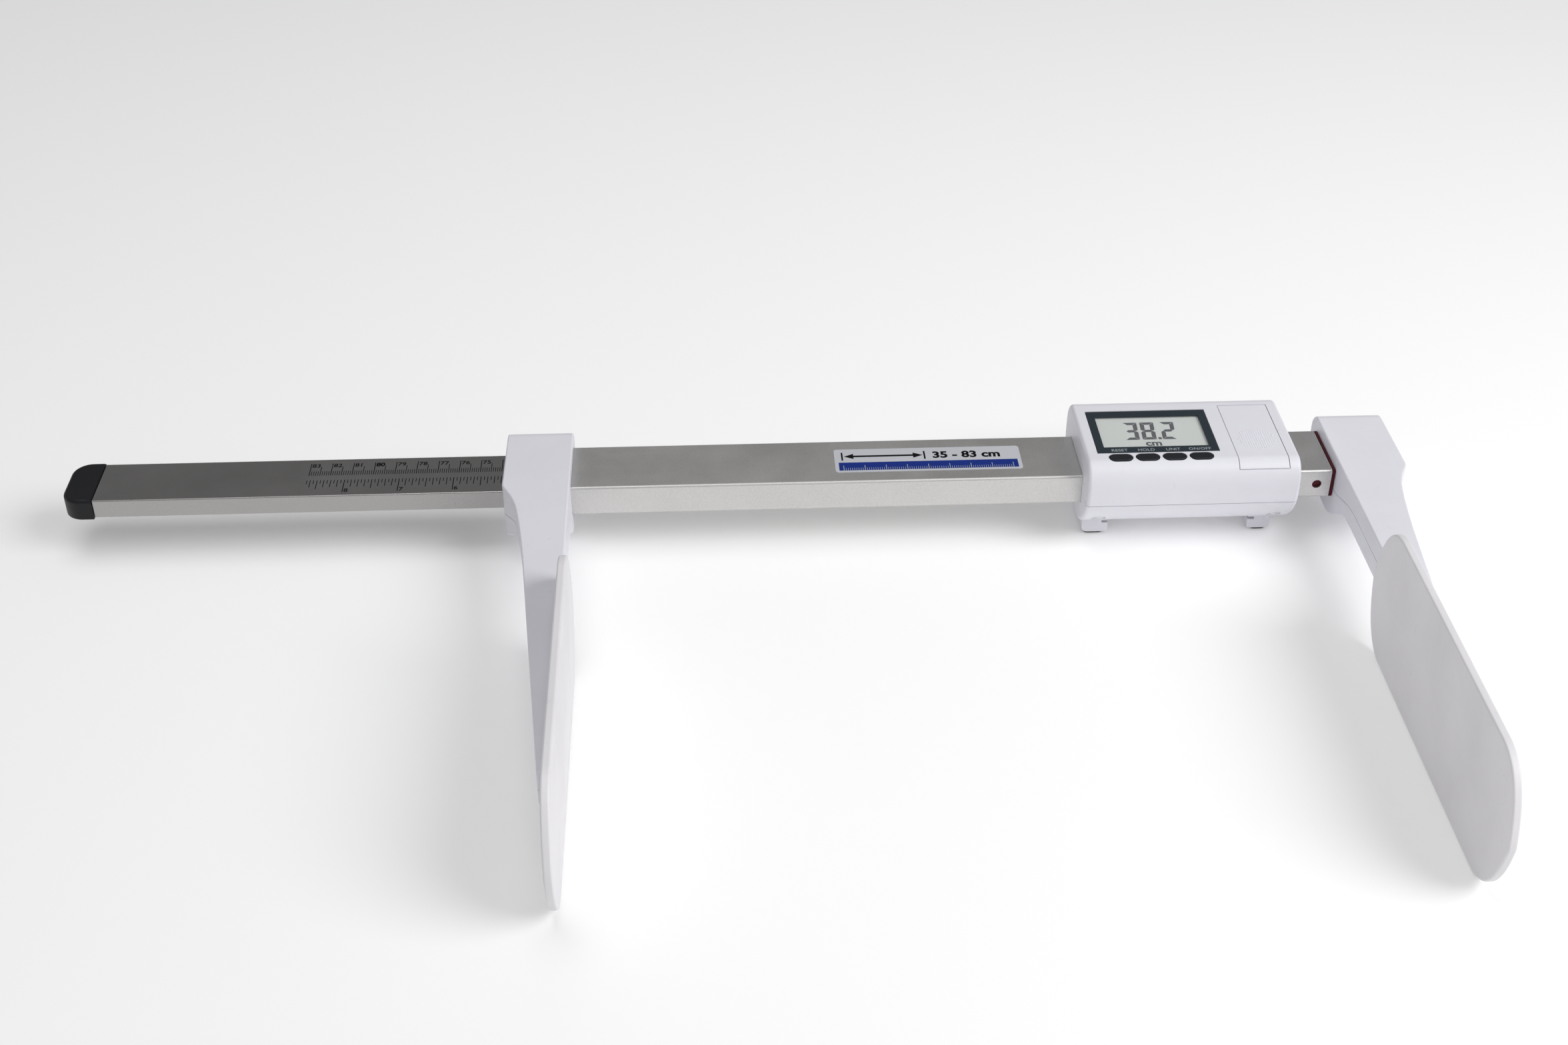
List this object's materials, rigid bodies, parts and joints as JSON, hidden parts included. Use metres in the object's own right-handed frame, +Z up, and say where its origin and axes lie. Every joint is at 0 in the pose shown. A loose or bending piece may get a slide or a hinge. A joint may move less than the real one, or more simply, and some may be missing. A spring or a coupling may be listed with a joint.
{
  "type": "digital infant length measuring rod",
  "caption": "Telescoping aluminium rod with two upright paddle jaws and a battery display for measuring a lying infant's length.",
  "frame": {"origin": "centre of the bounding box at its lowest level, on the surface the rod lies on", "axes": "+X along the bar towards the sliding jaw, +Y away from the paddles, +Z up"},
  "size_m": [0.6234, 0.3016, 0.065],
  "materials": {
    "white_plastic": "fine satin moulded ABS",
    "paddle_plastic": "fine matt moulded ABS",
    "satin_aluminium": "bead-blasted and clear anodised",
    "grey_aluminium": "bead-blasted and grey anodised, with a printed scale",
    "black_plastic": "satin moulded",
    "maroon_plastic": "satin moulded",
    "bezel_plastic": "semi-gloss moulded, printed legends",
    "clear_window": "clear polished",
    "lcd_panel": "reflective liquid-crystal panel",
    "button_rubber": "matt silicone",
    "pad_rubber": "matt",
    "board": "solder-masked",
    "screw_steel": "zinc plated",
    "cell_jacket": "printed wrap"
  },
  "bodies": {
    "fixed_frame": {"outer_tube": "satin_aluminium", "tube_end_bushing": "maroon_plastic", "tube_stop_bushing": "maroon_plastic", "fixed_head_upper": "white_plastic", "fixed_head_lower": "white_plastic", "fixed_paddle": "paddle_plastic", "fixed_head_screw_1": "screw_steel", "fixed_head_screw_2": "screw_steel", "fixed_lock_screw_1": "screw_steel", "fixed_lock_screw_2": "screw_steel", "fixed_paddle_screw_1": "screw_steel", "fixed_paddle_screw_2": "screw_steel", "fixed_paddle_screw_3": "screw_steel", "display_upper_case": "white_plastic", "display_lower_case": "white_plastic", "foot_pad_left": "pad_rubber", "foot_pad_right": "pad_rubber", "display_bezel": "bezel_plastic", "display_lens": "clear_window", "lcd_module": "lcd_panel", "circuit_board": "board", "bar_reader": "black_plastic", "battery_1": "cell_jacket", "battery_2": "cell_jacket", "battery_contact_front": "screw_steel", "battery_contact_back": "screw_steel", "case_screw_1": "screw_steel", "case_screw_2": "screw_steel", "case_screw_3": "screw_steel", "case_screw_4": "screw_steel"},
    "sliding_jaw": {"inner_bar": "grey_aluminium", "encoder_strip": "black_plastic", "bar_end_cap": "black_plastic", "sliding_head_upper": "white_plastic", "sliding_head_lower": "white_plastic", "sliding_paddle": "paddle_plastic", "sliding_head_screw_1": "screw_steel", "sliding_head_screw_2": "screw_steel", "sliding_lock_screw_1": "screw_steel", "sliding_lock_screw_2": "screw_steel", "sliding_paddle_screw_1": "screw_steel", "sliding_paddle_screw_2": "screw_steel", "sliding_paddle_screw_3": "screw_steel"},
    "battery_cover": {"battery_door": "white_plastic"},
    "reset_button": {"button_1": "button_rubber"},
    "hold_button": {"button_2": "button_rubber"},
    "unit_button": {"button_3": "button_rubber"},
    "on_off_button": {"button_4": "button_rubber"}
  },
  "joints": [
    {"name": "length_slide", "type": "slide", "parent": "fixed_frame", "child": "sliding_jaw", "axis": [1, 0, 0], "range_m": [0, 0.48]},
    {"name": "battery_cover_slide", "type": "slide", "parent": "fixed_frame", "child": "battery_cover", "axis": [0, -1, 0], "range_m": [0, 0.056]},
    {"name": "reset_press", "type": "slide", "parent": "fixed_frame", "child": "reset_button", "axis": [0, 0, -1], "range_m": [0, 0.0008], "stiffness_N_per_m": 1500, "springref_m": -0.0002},
    {"name": "hold_press", "type": "slide", "parent": "fixed_frame", "child": "hold_button", "axis": [0, 0, -1], "range_m": [0, 0.0008], "stiffness_N_per_m": 1500, "springref_m": -0.0002},
    {"name": "unit_press", "type": "slide", "parent": "fixed_frame", "child": "unit_button", "axis": [0, 0, -1], "range_m": [0, 0.0008], "stiffness_N_per_m": 1500, "springref_m": -0.0002},
    {"name": "on_off_press", "type": "slide", "parent": "fixed_frame", "child": "on_off_button", "axis": [0, 0, -1], "range_m": [0, 0.0008], "stiffness_N_per_m": 1500, "springref_m": -0.0002}
  ]
}
